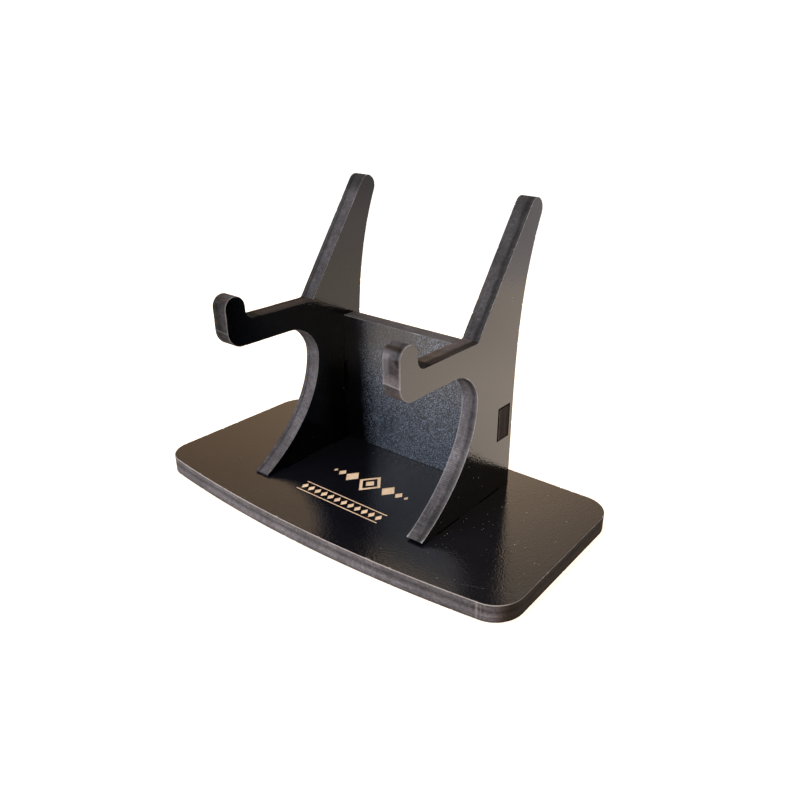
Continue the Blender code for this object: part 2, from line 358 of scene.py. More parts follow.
def board(name, outer, holes, place, relief, tones, free_edge, step=0.26,
          engraving=(), nibs=(), seed=1, whole=(), low_face=0):
    """One board. place(u, v, t) turns outline coordinates and height t above the
    board's middle plane into the stand's frame, in millimetres. whole lists spots
    without chips, and low_face is the material of the face on the low side."""
    mesh = Mesh()
    chip_rng = np.random.default_rng(seed)
    tops, bottoms, sharp = [], [], []
    bend = [0, 18, 38, 60, 90]
    rows = [(ARRIS * (1 - math.sin(math.radians(a))),
             HALF - ARRIS * (1 - math.cos(math.radians(a)))) for a in bend]
    inset = np.array([r[0] for r in rows] + [0.0] * (len(SIDE_ROWS) - 2)
                     + [r[0] for r in reversed(rows)])
    height = np.array([r[1] for r in rows] + list(SIDE_ROWS[1:-1])
                      + [-r[1] for r in reversed(rows)])
    top_w = np.array([1, .95, .8, .6, .35] + [0] * (len(SIDE_ROWS) - 2) + [0] * 5)
    low_w = top_w[::-1]
    body_w = smoothstep(HALF, HALF - 0.55, np.abs(height))
    for number, outline in enumerate([outer] + list(holes)):
        p = resample(outline, step)
        n, mitre, s = normals_of(p)
        u, v = p[:, 0], p[:, 1]
        total = s[-1] + step
        depth = relief(s[:, None], height[None, :], u[:, None], v[:, None],
                       n[:, 0][:, None], n[:, 1][:, None], number) * body_w[None, :]
        drop = np.zeros_like(depth)
        chip_pale = np.zeros_like(depth)
        for weight in (top_w, low_w):
            for _ in range(int(total / 9)):
                where = chip_rng.uniform(0, total)
                wide = chip_rng.uniform(0.16, 0.42)
                deep = chip_rng.uniform(0.02, 0.13) * (1 if wide > 0.25 else 0.7)
                off = (s - where + total / 2) % total - total / 2
                g = np.exp(-(off / wide) ** 2)[:, None] * weight[None, :]
                depth += g * deep
                drop += g * deep * 0.8
                chip_pale += g * min(1.0, deep * 7)
        for wu, wv, radius in whole:
            keep = smoothstep(radius, 1.5 * radius, np.hypot(u - wu, v - wv))[:, None]
            depth = depth * keep + 0.05 * (1 - keep)
            drop, chip_pale = drop * keep, chip_pale * keep
        # no pale wear where one board stands against another
        free = (free_edge(u, v, n[:, 0], n[:, 1]) if number == 0
                else np.zeros(len(p))).astype(float)
        depth = np.clip(depth, 0, 0.45)
        narrow = np.minimum(1.0, 0.26 * room_inside(p, n) / RIM) if number == 0 \
            else np.full(len(p), 0.6)
        inset_scale = np.where(free > 0, narrow, 0.3 * narrow)
        inward = inset_scale[:, None] * inset[None, :] + narrow[:, None] * depth
        # near a sharp corner a point moves in by less than its way to the corner
        apart = np.full(len(p), 1e3)
        for i in np.where(mitre > 1.15)[0]:
            way = np.abs((s - s[i] + total / 2) % total - total / 2)
            apart = np.minimum(apart, np.maximum(way, 0.9 * step)
                               / math.sqrt(mitre[i] ** 2 - 1))
        inward = np.minimum(inward, 0.70 * apart[:, None])
        at = p[:, None, :] - n[:, None, :] * (mitre[:, None] * inward)[:, :, None]
        t = np.broadcast_to(height[None, :], depth.shape) * (1 - drop / HALF)
        tone, pale, warm = tones(s[:, None], t, u[:, None], v[:, None],
                                 n[:, 0][:, None], n[:, 1][:, None], number)
        tone = np.broadcast_to(tone, depth.shape)
        warm = np.clip(np.broadcast_to(warm, depth.shape), 0, 1)
        pale = np.clip(np.broadcast_to(pale, depth.shape)
                       + 0.45 * chip_pale * free[:, None], 0, 1)
        co = place(at[:, :, 0].ravel(), at[:, :, 1].ravel(), t.ravel())
        first = mesh.add(co, tone.ravel(), pale.ravel(), warm.ravel())
        m, k = len(p), len(height)
        for i in range(m):
            a, b = first + i * k, first + ((i + 1) % m) * k
            for j in range(k - 1):
                mesh.face((a + j, a + j + 1, b + j + 1, b + j), 1, True)
        # a clean flat rim inside each worn arris carries the flat faces
        rim = p - n * (np.minimum(mitre, 1.5)
                       * np.minimum(RIM * narrow, 0.88 * apart))[:, None]
        for side, column, out in ((1, 0, tops), (-1, k - 1, bottoms)):
            flat = mesh.add(place(rim[:, 0], rim[:, 1], np.full(m, side * HALF)), 1.0, 0.0)
            for i in range(m):
                j = (i + 1) % m
                a, b = first + i * k + column, first + j * k + column
                quad = (flat + i, a, b, flat + j)
                mesh.face(quad if side == 1 else quad[::-1], 0 if side == 1 else low_face,
                          False)
            out.append((flat + np.arange(m), rim))
            sharp.append(first + np.arange(m) * k + column)

    # flat faces
    for side, rings in ((1, tops), (-1, bottoms)):
        loops = [r[1] for r in rings]
        ids = np.concatenate([r[0] for r in rings])
        cuts = engraving if side == 1 else ()
        cut_loops = [np.array(c, float) for c in cuts]
        nib_loops = [nib_ring(*nib, seed * 1000 + i) for i, nib in enumerate(nibs)] \
            if side == 1 else []
        extra = {}
        if cut_loops:
            for c, loop in enumerate(cut_loops):
                rim = mesh.add(place(loop[:, 0], loop[:, 1], np.full(len(loop), HALF)),
                               1.0, 0.0)
                extra[c] = (rim, len(loop))
                ids = np.concatenate([ids, rim + np.arange(len(loop))])
        for nib, loop in zip(nibs, nib_loops):
            rim = mesh.add(place(loop[:, 0], loop[:, 1], np.full(len(loop), HALF)), 1.0, 0.0)
            ids = np.concatenate([ids, rim + np.arange(len(loop))])
            heart = loop.mean(0)
            inner = heart + (loop - heart) * 0.6
            up = mesh.add(place(inner[:, 0], inner[:, 1],
                                np.full(len(loop), HALF + 0.5 * nib[2])), 1.0, 1.0)
            top = mesh.add(place(heart[:1], heart[1:], np.array([HALF + 0.72 * nib[2]])),
                           1.0, 1.0)
            count = len(loop)
            for i in range(count):
                j = (i + 1) % count
                mesh.face((rim + i, rim + j, up + j, up + i), 3, True)
                mesh.face((up + i, up + j, top), 3, True)
        tris, centre = triangulate(loops + cut_loops + nib_loops)
        solid = crossings(centre, loops[0])
        for hole in loops[1:]:
            solid &= ~crossings(centre, hole)
        cut_count = np.zeros(len(centre), int)
        for loop in cut_loops:
            cut_count += crossings(centre, loop)
        sunk = cut_count % 2 == 1
        for loop in nib_loops:
            near = np.abs(centre - loop.mean(0)).max(1) < 1.0
            solid[near] &= ~crossings(centre[near], loop)
        for tri in ids[tris[solid & ~sunk]]:
            mesh.face(tri if side == 1 else tri[::-1], 0 if side == 1 else low_face, False)
        if cut_loops:
            # floors and walls of the engraving
            floor_id = {}
            for c, loop in enumerate(cut_loops):
                rim, n = extra[c]
                deep = mesh.add(place(loop[:, 0], loop[:, 1],
                                      np.full(len(loop), HALF - ENGRAVE)), 1.0, 0.0)
                signed = 0.5 * np.sum(loop[:, 0] * np.roll(loop[:, 1], -1)
                                      - loop[:, 1] * np.roll(loop[:, 0], -1))
                nested = sum(bool(crossings(loop[:1], other)[0])
                             for o, other in enumerate(cut_loops) if o != c)
                flip = (signed > 0) == (nested % 2 == 0)
                for i in range(n):
                    j = (i + 1) % n
                    quad = (rim + i, rim + j, deep + j, deep + i)
                    mesh.face(quad if flip else quad[::-1], 2, False)
                for i in range(n):
                    floor_id[rim + i] = deep + i
            for tri in ids[tris[sunk]]:
                mesh.face([floor_id[int(i)] for i in tri], 2, False)
    return mesh, sharp


# ---------------------------------------------------------------- relief of cut edges
fine, slow, wobble, plane, pits = (Noise1(11), Noise1(12), Noise1(13), Noise2(14), Noise2(15))


def striations(s, t, offset=0.0):
    """Lines across the thickness, as a pulsed beam leaves them: 0 at a ridge, 1 in
    a groove."""
    s = s + offset + 0.10 * wobble(t * 0.7 + offset) + 0.25 * slow(s / 9 + 3)
    beam = 0.5 + 0.5 * np.cos(2 * math.pi * s / 0.69)
    mixed = 0.70 * beam + 0.30 * (0.5 + 0.5 * fine(s / 0.34))
    return mixed * (0.80 + 0.20 * plane(s / 5, t * 0.8))


def cut_relief(s, t, strength, offset=0.0):
    stri = strength * striations(s, t, offset)
    swell = 0.018 * plane(s / 7 + offset, t * 0.35 + 40)
    pit = 0.10 * np.clip(pits(s / 0.55 + offset, t * 2.6) - 0.86, 0, 1) / 0.14
    return 0.03 + stri + swell + pit * 0.5


# ---------------------------------------------------------------- node helpers
def new_material(name):
    m = bpy.data.materials.new(name)
    m.use_nodes = True
    tree = m.node_tree
    shader = tree.nodes["Principled BSDF"]
    return m, tree, shader


def node(tree, kind, **settings):
    n = tree.nodes.new(kind)
    for key, value in settings.items():
        if key.startswith("in_"):
            n.inputs[key[3:].replace("_", " ")].default_value = value
        else:
            setattr(n, key, value)
    return n


def noise_node(tree, vector, scale, detail=2.0, rough=0.5):
    n = node(tree, "ShaderNodeTexNoise")
    n.noise_dimensions = "3D"
    n.inputs["Scale"].default_value = scale
    n.inputs["Detail"].default_value = detail
    n.inputs["Roughness"].default_value = rough
    tree.links.new(vector, n.inputs["Vector"])
    return n


def math_node(tree, operation, a, b=None, clamp=False):
    n = node(tree, "ShaderNodeMath", operation=operation, use_clamp=clamp)
    for socket, value in zip(n.inputs, (a, b)):
        if value is None:
            continue
        if isinstance(value, (int, float)):
            socket.default_value = value
        else:
            tree.links.new(value, socket)
    return n.outputs[0]


def range_node(tree, value, a, b, c, d):
    n = node(tree, "ShaderNodeMapRange")
    tree.links.new(value, n.inputs["Value"])
    for key, x in (("From Min", a), ("From Max", b), ("To Min", c), ("To Max", d)):
        n.inputs[key].default_value = x
    return n.outputs["Result"]


def ramp_node(tree, value, stops):
    n = node(tree, "ShaderNodeValToRGB")
    tree.links.new(value, n.inputs["Fac"])
    ramp = n.color_ramp
    while len(ramp.elements) < len(stops):
        ramp.elements.new(0.5)
    for element, (at, colour) in zip(ramp.elements, stops):
        element.position = at
        element.color = (*colour, 1.0)
    return n.outputs["Color"]


def mix_colour(tree, factor, a, b, blend="MIX"):
    n = node(tree, "ShaderNodeMix", data_type="RGBA", blend_type=blend)
    for socket, value in ((n.inputs[0], factor), (n.inputs[6], a), (n.inputs[7], b)):
        if isinstance(value, (int, float)):
            socket.default_value = value
        elif isinstance(value, tuple):
            socket.default_value = (*value, 1.0)
        else:
            tree.links.new(value, socket)
    return n.outputs[2]


# ---------------------------------------------------------------- materials
def scratch_mask(tree, position, start, end, width, axes=(0, 1)):
    """1 on a thin line between two points of a flat face, in millimetres."""
    split = node(tree, "ShaderNodeSeparateXYZ")
    tree.links.new(position, split.inputs[0])
    p = split.outputs[axes[0]], split.outputs[axes[1]]
    (x0, y0), (x1, y1) = start, end
    length = math.hypot(x1 - x0, y1 - y0)
    ux, uy = (x1 - x0) / length, (y1 - y0) / length

    def project(ax, ay, offset):
        a = math_node(tree, "MULTIPLY", p[0], ax / MM)
        b = math_node(tree, "MULTIPLY", p[1], ay / MM)
        return math_node(tree, "SUBTRACT", math_node(tree, "ADD", a, b), offset)

    along = project(ux, uy, ux * x0 + uy * y0)
    across = math_node(tree, "ABSOLUTE", project(-uy, ux, -uy * x0 + ux * y0))
    line = range_node(tree, across, width * 0.4, width, 1.0, 0.0)
    start_in = range_node(tree, along, -0.1, 0.6, 0.0, 1.0)
    end_in = range_node(tree, along, length - 0.6, length + 0.1, 1.0, 0.0)
    return math_node(tree, "MULTIPLY", line, math_node(tree, "MULTIPLY", start_in, end_in))


def laminate(name, own, rough, grain, scale=2600.0, level=0.5, shift=0.0, glint_flecks=None,
             scratches=(), calm=None):
    """Black melamine face: nearly no colour of its own, a clear reflection, and a
    fine orange-peel grain. With glint_flecks it gets bright points, painted glints of
    the front light in its pearl texture, and a left margin that is smoother and
    painted darker, painted shade beside the left support. calm gives two heights in
    millimetres between which the grain fades, and how much of it is left above."""
    m, tree, shader = new_material(name)
    place_at = node(tree, "ShaderNodeTexCoord").outputs["Object"]
    move = node(tree, "ShaderNodeVectorMath", operation="ADD")
    tree.links.new(place_at, move.inputs[0])
    move.inputs[1].default_value = (shift, shift * 0.7, -shift * 1.3)
    at = move.outputs[0]
    cloud = noise_node(tree, at, 60.0, 3.0, 0.6).outputs["Fac"]
    colour = ramp_node(tree, cloud, [(0.30, tuple(0.8 * c for c in own)),
                                     (0.70, tuple(1.2 * c for c in own))])
    smudge = noise_node(tree, at, 45.0, 4.0, 0.62).outputs["Fac"]
    roughness = range_node(tree, smudge, 0.3, 0.7, rough * 0.88, rough * 1.12)
    grain_1 = noise_node(tree, at, scale, 0.0, 0.5).outputs["Fac"]
    grain_2 = noise_node(tree, at, scale * 0.45, 1.0, 0.5).outputs["Fac"]
    height = math_node(tree, "ADD", grain_1, math_node(tree, "MULTIPLY", grain_2, 0.10))
    if calm:
        rise = node(tree, "ShaderNodeSeparateXYZ")
        tree.links.new(place_at, rise.inputs[0])
        height = math_node(tree, "MULTIPLY", height, range_node(
            tree, rise.outputs["Z"], calm[0] * MM, calm[1] * MM, 1.0, calm[2]))
    if glint_flecks:
        # bright points painted into the colour: painted glints of the front light in the pearl
        # texture
        split = node(tree, "ShaderNodeSeparateXYZ")
        tree.links.new(place_at, split.inputs[0])
        wander = noise_node(tree, at, 150.0, 2.0, 0.5).outputs["Fac"]
        x = math_node(tree, "ADD", math_node(tree, "MULTIPLY", split.outputs["X"], 1000.0),
                      math_node(tree, "MULTIPLY", wander, 4.0))
        x = math_node(tree, "SUBTRACT", x, range_node(
            tree, split.outputs["Z"], 0.026, 0.054, 3.2, 0.0))
        # 0 along the left margin next to the left support, 1 beyond it
        textured_and_unshaded = math_node(tree, "MULTIPLY", range_node(tree, x, -25.0, -17.5, 0.0, 1.0),
                             range_node(tree, split.outputs["X"], 0.0312, 0.0316, 1.0, 0.0))
        fleck = noise_node(tree, at, 3400.0, 0.0, 0.5).outputs["Fac"]
        cluster = noise_node(tree, at, 420.0, 2.0, 0.5).outputs["Fac"]
        fleck = math_node(tree, "ADD", fleck, math_node(tree, "MULTIPLY", cluster, 0.05))
        fleck = range_node(tree, fleck, 0.50, 0.73, 0.0, 1.0)
        z = math_node(tree, "MULTIPLY", split.outputs["Z"], 1000.0)
        # fewer painted glints high up on the left part of the panel
        quiet = math_node(tree, "MULTIPLY", range_node(tree, z, 36.0, 50.0, 0.0, 1.0),
                          range_node(tree, x, -2.0, 12.0, 1.0, 0.0))
        fleck = math_node(tree, "MULTIPLY", fleck, textured_and_unshaded)
        fleck = math_node(tree, "MULTIPLY", fleck, range_node(tree, quiet, 0.0, 1.0, 1.0, 0.25))
        # the left margin's colour drops to 0.3: painted shade beside the left support
        colour = mix_colour(tree, 1.0, colour, ramp_node(tree, textured_and_unshaded, [
            (0.0, (0.3, 0.3, 0.3)), (1.0, (1.0, 1.0, 1.0))]), "MULTIPLY")
        colour = mix_colour(tree, fleck, colour, glint_flecks)
        keep = range_node(tree, textured_and_unshaded, 0.0, 1.0, 0.45, 1.0)
        roughness = math_node(tree, "MULTIPLY", roughness, keep)
        height = math_node(tree, "MULTIPLY", height, keep)
    for start, end, width in scratches:
        line = scratch_mask(tree, place_at, start, end, width)
        broken = range_node(tree, noise_node(tree, at, 900.0, 2.0, 0.6).outputs["Fac"],
                            0.42, 0.60, 0.15, 0.75)
        colour = mix_colour(tree, math_node(tree, "MULTIPLY", line, broken), colour,
                            (0.085, 0.078, 0.072))
    tree.links.new(colour, shader.inputs["Base Color"])
    tree.links.new(roughness, shader.inputs["Roughness"])
    shader.inputs["IOR"].default_value = 1.80
    shader.inputs["Specular IOR Level"].default_value = level
    bump = node(tree, "ShaderNodeBump")
    bump.inputs["Strength"].default_value = 1.0
    bump.inputs["Distance"].default_value = grain
    tree.links.new(height, bump.inputs["Height"])
    tree.links.new(bump.outputs["Normal"], shader.inputs["Normal"])
    return m


def cut_edge(name, across, streaks=0.14, bare_and_highlight=(0.43, 0.43, 0.46)):
    """Charred grey cut edge. across is the row axis that the board's thickness
    runs along: soot streaks run that way, and pressed layers lie square to it."""
    m, tree, shader = new_material(name)
    at = node(tree, "ShaderNodeTexCoord").outputs["Object"]
    squeeze = node(tree, "ShaderNodeMapping")
    squeeze.inputs["Scale"].default_value = [0.12 if i == across else 1.0 for i in range(3)]
    tree.links.new(at, squeeze.inputs["Vector"])
    streak = noise_node(tree, squeeze.outputs["Vector"], 1500.0, 2.0, 0.55).outputs["Fac"]
    flatten = node(tree, "ShaderNodeMapping")
    flatten.inputs["Scale"].default_value = [1.0 if i == across else 0.05 for i in range(3)]
    tree.links.new(at, flatten.inputs["Vector"])
    layers = noise_node(tree, flatten.outputs["Vector"], 1900.0, 2.0, 0.55).outputs["Fac"]
    fleck = noise_node(tree, at, 1100.0, 2.0, 0.6).outputs["Fac"]
    cloud = noise_node(tree, at, 140.0, 3.0, 0.55).outputs["Fac"]
    # tone brings in real soot and layers, and painted shade as well
    tone = node(tree, "ShaderNodeAttribute", attribute_name="tone").outputs["Fac"]
    pale = node(tree, "ShaderNodeAttribute", attribute_name="pale").outputs["Fac"]
    value = math_node(tree, "ADD", math_node(tree, "MULTIPLY", streak, streaks),
                      math_node(tree, "MULTIPLY", fleck, 0.53 - streaks))
    value = math_node(tree, "ADD", value, math_node(tree, "MULTIPLY", cloud, 0.25))
    value = math_node(tree, "ADD", value, math_node(tree, "MULTIPLY", layers, 0.22))
    grey = ramp_node(tree, value, [(0.30, (0.030, 0.028, 0.030)),
                                   (0.50, (0.075, 0.072, 0.078)),
                                   (0.72, (0.150, 0.146, 0.155))])
    warm = node(tree, "ShaderNodeAttribute", attribute_name="warm").outputs["Fac"]
    tint = mix_colour(tree, warm, (1.0, 0.985, 1.02), (1.25, 0.95, 0.78))
    scaled = mix_colour(tree, 1.0, mix_colour(tree, 1.0, grey, tint, "MULTIPLY"), tone,
                        "MULTIPLY")
    # pale mixes in the pale colour: pale wear, and painted highlights along the arrises
    pale_wear_and_highlight = mix_colour(tree, pale, scaled, bare_and_highlight)
    tree.links.new(pale_wear_and_highlight, shader.inputs["Base Color"])
    rough = range_node(tree, fleck, 0.3, 0.7, 0.60, 0.80)
    rough = math_node(tree, "SUBTRACT", rough, math_node(tree, "MULTIPLY", pale, 0.18))
    tree.links.new(rough, shader.inputs["Roughness"])
    shader.inputs["IOR"].default_value = 1.5
    shader.inputs["Specular IOR Level"].default_value = 0.06
    bump = node(tree, "ShaderNodeBump")
    bump.inputs["Strength"].default_value = 1.0
    bump.inputs["Distance"].default_value = 0.00003
    tree.links.new(value, bump.inputs["Height"])
    tree.links.new(bump.outputs["Normal"], shader.inputs["Normal"])
    return m


def engraved(name):
    """Bare pale fibre where the black face has been burnt away."""
    m, tree, shader = new_material(name)
    at = node(tree, "ShaderNodeTexCoord").outputs["Object"]
    fibre = noise_node(tree, at, 1900.0, 3.0, 0.6).outputs["Fac"]
    cloud = noise_node(tree, at, 260.0, 2.0, 0.5).outputs["Fac"]
    value = math_node(tree, "ADD", math_node(tree, "MULTIPLY", fibre, 0.6),
                      math_node(tree, "MULTIPLY", cloud, 0.4))
    colour = ramp_node(tree, value, [(0.30, (0.43, 0.31, 0.21)),
                                     (0.55, (0.60, 0.46, 0.33)),
                                     (0.75, (0.70, 0.55, 0.42))])
    tree.links.new(colour, shader.inputs["Base Color"])
    shader.inputs["Roughness"].default_value = 0.75
    shader.inputs["IOR"].default_value = 1.45
    bump = node(tree, "ShaderNodeBump")
    bump.inputs["Strength"].default_value = 0.8
    bump.inputs["Distance"].default_value = 0.00003
    tree.links.new(fibre, bump.inputs["Height"])
    tree.links.new(bump.outputs["Normal"], shader.inputs["Normal"])
    return m


def dust_material(name):
    m, tree, shader = new_material(name)
    at = node(tree, "ShaderNodeTexCoord").outputs["Object"]
    lint = noise_node(tree, at, 900.0, 1.0, 0.5).outputs["Fac"]
    colour = ramp_node(tree, lint, [(0.35, (0.26, 0.255, 0.24)), (0.7, (0.60, 0.58, 0.54))])
    tree.links.new(colour, shader.inputs["Base Color"])
    shader.inputs["Roughness"].default_value = 0.9
    return m


# ---------------------------------------------------------------- the four boards
ENGRAVE = 0.16


def lozenge(x, y, w, h):
    """Corners counter-clockwise."""
    return [(x + w / 2, y), (x, y + h / 2), (x - w / 2, y), (x, y - h / 2)]


def bar(x0, x1, y0, y1):
    return [(x0, y0), (x1, y0), (x1, y1), (x0, y1)]


# engraved ornament on the base plate: a row of lozenges that grow towards the
# middle, over a narrow band of small lozenges between two lines
ornament = [lozenge(0, -3.6, 9.4, 11.6), lozenge(0, -3.6, 6.6, 8.1)[::-1],
            lozenge(0, -3.6, 3.6, 4.4)]
for side in (-1, 1):
    ornament.append(lozenge(side * 8.3, -3.6, 5.4, 7.0))
    ornament.append(lozenge(side * 13.0, -3.6, 3.0, 4.0))
    ornament.append(lozenge(side * 16.2, -3.6, 1.6, 2.2))
ornament += [bar(-18.2, 18.2, -21.2, -20.75), bar(-18.2, 18.2, -15.95, -15.5)]
for k in range(12):
    ornament.append(lozenge(-16.7 + k * 3.036, -18.35, 2.3, 3.5))


def hook_tones(side, s, v, across, nu):
    """Scorching on the flat front of a hook: brightness, pale wear and warmth. On the
    right hook the brightness also holds a painted highlight high on its -X side and
    painted shade over its crown.
    """
    blot, speck = Noise2(61 + side), Noise2(64 + side)
    seam_v = 61.2 - 0.22 * across
    seam = np.exp(-((v - seam_v) / 0.20) ** 2)
    above = smoothstep(seam_v, seam_v + 0.2, v)
    if side > 0:
        value = 1.50 + 0.28 * blot(s / 1.1, across * 1.9) + 0.14 * speck(s / 0.4, across * 5)
        # painted highlight high on the hook's -X side
        value = value + 1.2 * np.exp(-((v - 69.4) / 1.1) ** 2) * smoothstep(0.05, -0.45, across)
        value = value + 0.20 * smoothstep(-0.45, -0.85, across)
        held = smoothstep(69.4, 68.2, v) * smoothstep(63.0, 65.0, v)
        value = value - 0.72 * held * smoothstep(-0.62, -0.05, across) \
            * smoothstep(0.98, 0.80, across)
        value = value - 0.45 * smoothstep(0.35, 0.6, across) * (v > 67)
        # painted shade over the crown, where the front turns up to the top
        value = value * (1 - 0.78 * smoothstep(70.4, 71.4, v))
        value = value * (1 - (1 - above) * (0.26 + 0.26 * np.exp(-(seam_v - v) / 0.8)
                                            * (v < seam_v)))
        glow = np.exp(-np.clip(v - seam_v, 0, 9) / 1.6) * above
        pale = 0.12 * glow * (0.8 + 0.3 * blot(s / 1.5, across * 3)) + 0.30 * seam
        pale = pale + 0.30 * smoothstep(-0.90, -0.97, across) * (v > 61) * (v < 70)
        warm = 0.65 * glow + 0.30 * (1 - above) + 0.9 * smoothstep(70.5, 71.5, v)
        warm = warm + 0.30 * held * smoothstep(-0.4, 0.2, across)
    else:
        value = 0.48 + 0.13 * blot(s / 1.3, across * 1.7) + 0.15 * speck(s / 0.55, across * 3.2)
        value = value - 0.20 * np.exp(-((across + 0.35) / 0.28) ** 2)
        value = value + 0.14 * smoothstep(0.1, 0.7, across)
        value = value + 0.10 * smoothstep(69.5, 71.5, v)
        pale = 0.17 * seam * (0.75 + 0.25 * blot(s, across * 4))
        warm = 0.10 + 0.70 * smoothstep(70, 72, v)
    return value, pale, warm


def support_tones(side):
    """Brightness of a support's cut edge. Along the sheet there are soft layers
    parallel to the faces, and a sootier strip near the outer face. Painted shade
    darkens the arm's top in part, the notch, the nose top, the foot under the arm and
    the slot, and the pale arrises are part wear and part painted highlight."""
    band, blotch, drift = Noise1(31 + side), Noise2(33 + side), Noise1(37 + side)

    def tones(s, t, u, v, nu, nv, number):
        across = t / HALF                       # +1 at the +X face
        tone = np.full(np.broadcast(s, t).shape, 0.50)
        arm = (nv > 0.8) * (v > 60) * (v < 66) * (u < -30)
        notch = (v > 63.5) * (v < 69) * (u < -54) * (u > -61) * (nu > -0.3)
        front = smoothstep(0.25, 0.65, -nu) * (u < -60) * (v > 55)
        foot = (nu < 0.1) * (nv > -0.9) * (v < 56.5) * (u > -59) * (v > 6.2) * (number == 0)
        if side > 0:
            soot = smoothstep(0.12, 0.42, across + 0.10 * band(s / 3.0))
            clean = smoothstep(0.50, 0.90, across + 0.06 * band(s / 2.0 + 7))
            upper = smoothstep(64, 66, v) * (u > -58)
            tone = tone * (1 - (0.45 + 0.13 * upper) * soot * (1 - 0.60 * clean) * (1 - front))
            tone = tone * (1 - 0.16 * upper * smoothstep(78, 90, v) + 0.06 * upper)
        else:
            line = np.exp(-((across + 0.46 + 0.05 * band(s / 4.0)) / 0.13) ** 2)
            tone = tone * (1 - 0.62 * line * (1 - front))
            tone = tone * (1 - 0.30 * smoothstep(-0.60, -0.74, across) * (1 - front))
            tone = tone * (1 + (0.10 + 0.10 * smoothstep(76, 86, v)) * (v > 66) * (u > -58))
        tone = tone * (1 + 0.15 * blotch(s / 2.6, across * 1.4) + 0.10 * drift(s / 9))
        # the arm's top is darker, part soot and part painted shade of a face turned up, away
        # from the front light; the notch between arm and hook is painted shade
        dim = (1.06 - 0.68 * smoothstep(-0.20, 0.60, across)) \
            * (0.72 + 0.42 * smoothstep(-55, -38, u)) if side > 0 \
            else 0.38 * (1.2 - 0.5 * smoothstep(0.3, 0.9, across))
        tone = tone * (1 - (1 - dim) * arm) * (1 - 0.90 * notch)
        # painted shade on the top of the nose
        tone = tone * (1 - (0.24 if side > 0 else 0.52) * smoothstep(96.5, 100.0, v))
        lines = striations(s, t, 50.0 * side) - 0.5
        inner = smoothstep(0.55, -0.2, side * across)
        grooved = smoothstep(40, 24, v) * foot * (0.25 + 0.75 * inner)
        tone = tone * (1 - lines * (0.03 + (0.84 if side > 0 else 0.30) * grooved))
        # the long sweep of the foot is lighter than the rest, less so near its low end, and
        # painted shade darkens it under the arm
        sweep = (0.32 + 1.34 * smoothstep(12, 29, v)) if side > 0 \
            else (0.45 + 0.66 * smoothstep(12, 29, v))
        tone = tone * (1 + foot * sweep) * (1 - 0.62 * foot * smoothstep(44, 53.5, v))
        value, pale_wear_and_highlight, glow = hook_tones(side, s, v, across, nu)
        tone = tone * (1 - front) + 0.50 * value * front
        rim = smoothstep(HALF - 0.15, HALF - 0.03, np.abs(t))
        rim = rim * (0.7 + 0.3 * band(s / 0.8 + 3)) * (v > 6.4) * (number == 0)
        rim = rim * (1 - 0.75 * arm) * (1 - 0.8 * notch)
        # pale on the arrises, part wear and part painted highlight: more on the +X side, down
        # the foot and up the upright
        lit = 0.16 + 0.16 * (across > 0)
        if side > 0:
            lit = lit + foot * (0.50 * (across > 0) + 0.36 * (across < 0) * (v < 45))
            lit = lit + 0.26 * (across > 0) * (v > 66) * (u > -58)
            # the pale arris, part wear and part painted highlight, is wider down the sweep of
            # the foot and round the hook
            wide = smoothstep(HALF - 0.75, HALF - 0.10, t)
            head = (u < -57) * (v > 55) * (nu < 0.3)
            lit_wide = 0.10 * foot * wide + 0.20 * head * smoothstep(HALF - 0.42, HALF - 0.12, t)
            # its other arris is painted bright between the grooves, most at the tip: nicks and
            # painted highlight together
            nicked = smoothstep(HALF - 0.70, HALF - 0.20, -t) * (v < 45)
            lit_wide = lit_wide + 0.15 * foot * nicked * (1 - 1.5 * lines)
            tip = np.exp(-((v - 7.0) / 0.5) ** 2) * (u < -45) * (number == 0)
            lit_wide = lit_wide + 0.28 * tip * smoothstep(HALF - 0.9, HALF - 0.3, np.abs(t))
        else:
            lit_wide = 0.08 * (u < -57) * (v > 55) * (nu < 0.3) \
                * smoothstep(HALF - 0.40, HALF - 0.12, t)
            head = 0.0
        corner = (v > 61) * (v < 66.5) * (u > -62) * (u < -50) * (nv > 0.2)
        pale = (lit * rim + lit_wide * (number == 0)) * (1 - 0.85 * corner) + pale_wear_and_highlight * front
        warm = (0.9 - 0.45 * (side > 0) * smoothstep(-52, -38, u)) * arm
        warm = warm + 0.9 * notch + glow * front + 0.5 * head * (t > HALF - 0.42)
        # painted shade on the slot's walls
        if number > 0:
            tone = tone * 0.1
        return tone, pale, warm

    return tones


def support_relief(side):
    def relief(s, t, u, v, nu, nv, number):
        low = smoothstep(42, 24, v) * (nu < -0.2) * (v > 6.3)
        inner = smoothstep(1.6, -0.6, side * t)
        strength = 0.010 + (0.050 if side > 0 else 0.024) * low * (0.3 + 0.7 * inner)
        depth = cut_relief(s, t, strength, 50.0 * side)
        seam = 0.07 * np.exp(-((v - 61.2) / 0.20) ** 2) * (nu < -0.9) * (u < -66)
        return depth + seam

    return relief


def place_support(side):
    def place(u, v, t):
        return np.stack([side * 34.5 + t, u + BASE_BACK_Y, v], 1)
    return place


